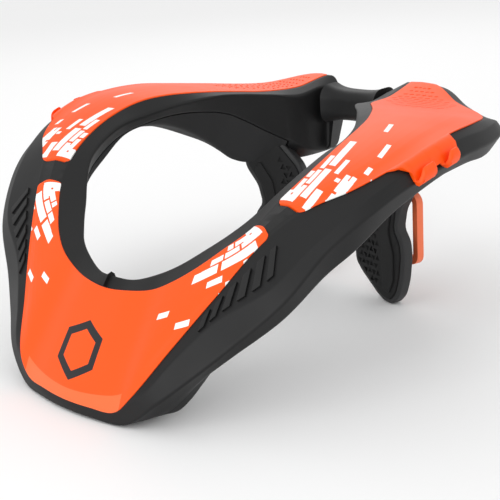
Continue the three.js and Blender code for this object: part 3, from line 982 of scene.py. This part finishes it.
def pad_dimples(side):
    """Small triangular dimples over the inner half of a pad, as one cutter."""
    room = leg_outline(PAD_RIM + NOTCH_MARGIN)
    matrix = leg_matrix(PAD_PROUD - NOTCH_DEPTH, side)
    cutter = bmesh.new()
    for row in range(NOTCH_ROWS):
        for column in range(NOTCH_COLUMNS):
            x = NOTCH_START.x + NOTCH_PITCH.x * column + (NOTCH_SHIFT if row % 2 else 0)
            y = NOTCH_START.y + NOTCH_PITCH.y * row
            limit = NOTCH_LIMIT[0] + (NOTCH_LIMIT[1] - NOTCH_LIMIT[0]) * y / LEG_HEIGHT
            if x > limit * LEG_WIDTH or not inside_outline(x, y, room):
                continue
            turn = 90 if column % 2 else -90
            angles = [math.radians(turn + 120 * k) for k in range(3)]
            corners = [(x + NOTCH_RADIUS * math.cos(angle), y + NOTCH_RADIUS * math.sin(angle))
                       for angle in angles]
            add_prism(cutter, [[matrix @ Vector((*corner, z)) for corner in corners]
                               for z in (0, 2 * CUT_CLEAR)])
    return body_of("pad_dimples", cutter)


def make_leg(side, word, chassis, liner):
    """A leg with a pocket in its front, and the pad in it, both cut to the lobe above them."""
    leg = prism("leg_" + word, leg_outline(), LEG_THICKNESS, leg_matrix(-LEG_THICKNESS, side))
    bevelled(leg, LEG_BEVEL, 4)
    pocket = prism("pocket", leg_outline(PAD_RIM), PAD_DEPTH + CUT_CLEAR, leg_matrix(-PAD_DEPTH, side))
    boolean(leg, pocket, "DIFFERENCE")
    pad = prism("pad_" + word, leg_outline(PAD_RIM + PAD_FIT), PAD_DEPTH - PAD_FIT + PAD_PROUD,
                leg_matrix(PAD_FIT - PAD_DEPTH, side))
    bevelled(pad, PAD_BEVEL)
    channel = [Vector((x * LEG_WIDTH, y * LEG_HEIGHT)) for x, y in CHANNEL]
    ridge = prism("ridge", rounded(channel, [CHANNEL_ROUND] * len(channel)), CHANNEL_RISE + CUT_CLEAR,
                  leg_matrix(PAD_PROUD - CUT_CLEAR, side))
    bevelled(ridge, CHANNEL_BEVEL, 3)
    boolean(pad, ridge, "UNION")
    boolean(pad, pad_dimples(side), "DIFFERENCE")
    for piece in (leg, pad):
        boolean(piece, copy_of(chassis), "DIFFERENCE")
        boolean(piece, copy_of(liner), "DIFFERENCE")
        smooth(piece)
    dress(leg, LEG_GREY, "leg_grey", "scapula_leg_" + word)
    dress(pad, PAD_BLACK, "pad_black", "scapula_pad_" + word)


def rib_corner(station, down, level, side):
    """A corner of a rib, some way down the collar's side and above or below its surface."""
    here = section(station)
    ahead = section(station + NUDGE)["outer"] - here["outer"]
    normal = ahead.cross(here["edge"] - here["outer"]).normalized()
    if normal.x < 0:
        normal = -normal
    point = here["outer"].lerp(here["edge"], down) + normal * level
    return Vector((point.x * side, point.y, point.z))


def make_ribs(side, word):
    """Slanted raised ribs on the outer side of the collar."""
    bars = bmesh.new()
    corners = ((0, RIB_TOP), (RIB_LONG, RIB_TOP), (RIB_LONG - RIB_SLANT, RIB_LOW), (-RIB_SLANT, RIB_LOW))
    for index in range(RIB_COUNT):
        first = RIB_START + RIB_STEP * index
        add_prism(bars, [[rib_corner(first + shift, down, level, side) for shift, down in corners]
                         for level in (-RIB_SINK, RIB_RISE)])
    ribs = body_of("side_ribs_" + word, bars)
    face_out(ribs)
    bevelled(ribs, RIB_BEVEL)
    smooth(ribs)
    dress(ribs, RIB_BLACK, "chassis_black")


def make_loop(side, word):
    """A strap loop behind a leg, on an upper and a lower lug."""
    def place(forward, rise):
        shift = Matrix.Translation((LOOP_OUTER - LEG_INNER - LOOP_WIDTH / 2, LOOP_FOOT + rise, 0))
        return leg_matrix(-LEG_THICKNESS - LOOP_FIT - forward, side) @ shift
    ring = prism("strap_ring_" + word, rounded_box(LOOP_WIDTH, LOOP_HEIGHT, LOOP_ROUND), LOOP_DEPTH,
                 place(LUG_DEPTH + LOOP_DEPTH, LOOP_HEIGHT / 2))
    opening = rounded_box(LOOP_WIDTH - 2 * LOOP_BAR, LOOP_HEIGHT - 2 * LOOP_BAR, LOOP_ROUND - LOOP_BAR)
    hole = prism("hole", opening, LOOP_DEPTH * 3, place(LUG_DEPTH + 2 * LOOP_DEPTH, LOOP_HEIGHT / 2))
    boolean(ring, hole, "DIFFERENCE")
    foot = rounded_box(LUG_WIDTH, LOOP_BAR * LUG_SHARE, LOOP_BAR / 4)
    for rise in (LOOP_BAR / 2, LOOP_HEIGHT - LOOP_BAR / 2):
        lug = prism("lug", foot, LUG_DEPTH + LOOP_DEPTH / 2, place(LUG_DEPTH + LOOP_DEPTH / 2, rise))
        boolean(ring, lug, "UNION")
    bevelled(ring, LOOP_BEVEL, 3)
    smooth(ring)
    dress(ring, LOOP_ORANGE, "loop_orange", "strap_loop_" + word)


# Floor, light and camera. The camera stands where the photo was taken, worked out from points of
# the photo, and its focal length is in pixels of the photo.
CAMERA_PLACE = Vector((0.45115, -0.44245, 0.25892))
CAMERA_RIGHT = Vector((0.71935, 0.69173, -0.06352))
CAMERA_UP = Vector((-0.17480, 0.26876, 0.94721))
CAMERA_FOCAL = 1100
PHOTO_SIZE = 500
SENSOR = 36
FLOOR_HALF = 6.0
FLOOR_LEVEL = -0.2 * MM
SURROUND = 0.92
# Lamps: name, place, target, width and power
LAMPS = (
    ("key", (0.2, -0.9, 1.3), (0, 0, 0.08), 0.8, 2.5),
    ("side", (1.2, 0.2, 0.8), (0, 0, 0.08), 0.7, 1),
    ("rear", (-0.8, 0.9, 0.9), (0, 0, 0.1), 0.7, 1.5),
    ("front", (0.1, -1.3, 0.3), (0, -0.1, 0.04), 0.6, 3.5),
)


def make_camera():
    data = bpy.data.cameras.new("camera")
    data.sensor_width = SENSOR
    data.lens = CAMERA_FOCAL / PHOTO_SIZE * SENSOR
    camera = new_object("camera", data)
    right = CAMERA_RIGHT.normalized()
    back = right.cross(CAMERA_UP).normalized()
    up = back.cross(right)
    matrix = Matrix((right, up, back)).transposed().to_4x4()
    matrix.translation = CAMERA_PLACE
    camera.matrix_world = matrix
    bpy.context.scene.camera = camera


def make_floor():
    corners = [Vector((x * FLOOR_HALF, y * FLOOR_HALF, FLOOR_LEVEL))
               for x, y in ((-1, -1), (1, -1), (1, 1), (-1, 1))]
    floor = mesh_object("floor", corners, [(0, 1, 2, 3)])
    material, shader = principled("pale_floor", FLOOR_PALE, 0.9)
    grain(material, shader, 300, 0.05, 0.2 * MM)
    floor.data.materials.append(material)


def area_light(name, place, target, size, power):
    data = bpy.data.lights.new(name, "AREA")
    data.shape = "DISK"
    data.size = size
    data.energy = power
    light = new_object(name, data)
    light.location = place
    light.rotation_euler = (Vector(target) - Vector(place)).to_track_quat("-Z", "Y").to_euler()


def make_light():
    """A white surround with four soft lamps."""
    world = bpy.data.worlds.new("studio")
    world.use_nodes = True
    background = world.node_tree.nodes["Background"]
    background.inputs["Color"].default_value = (1, 1, 1, 1)
    background.inputs["Strength"].default_value = SURROUND
    bpy.context.scene.world = world
    for lamp in LAMPS:
        area_light(*lamp)
    bpy.context.scene.view_settings.view_transform = "Standard"


make_camera()
make_floor()
make_light()
chassis = make_chassis()
liner = make_liner()
make_panels()
for side, word in ((1, "left"), (-1, "right")):
    make_leg(side, word, chassis, liner)
    make_loop(side, word)
    make_ribs(side, word)
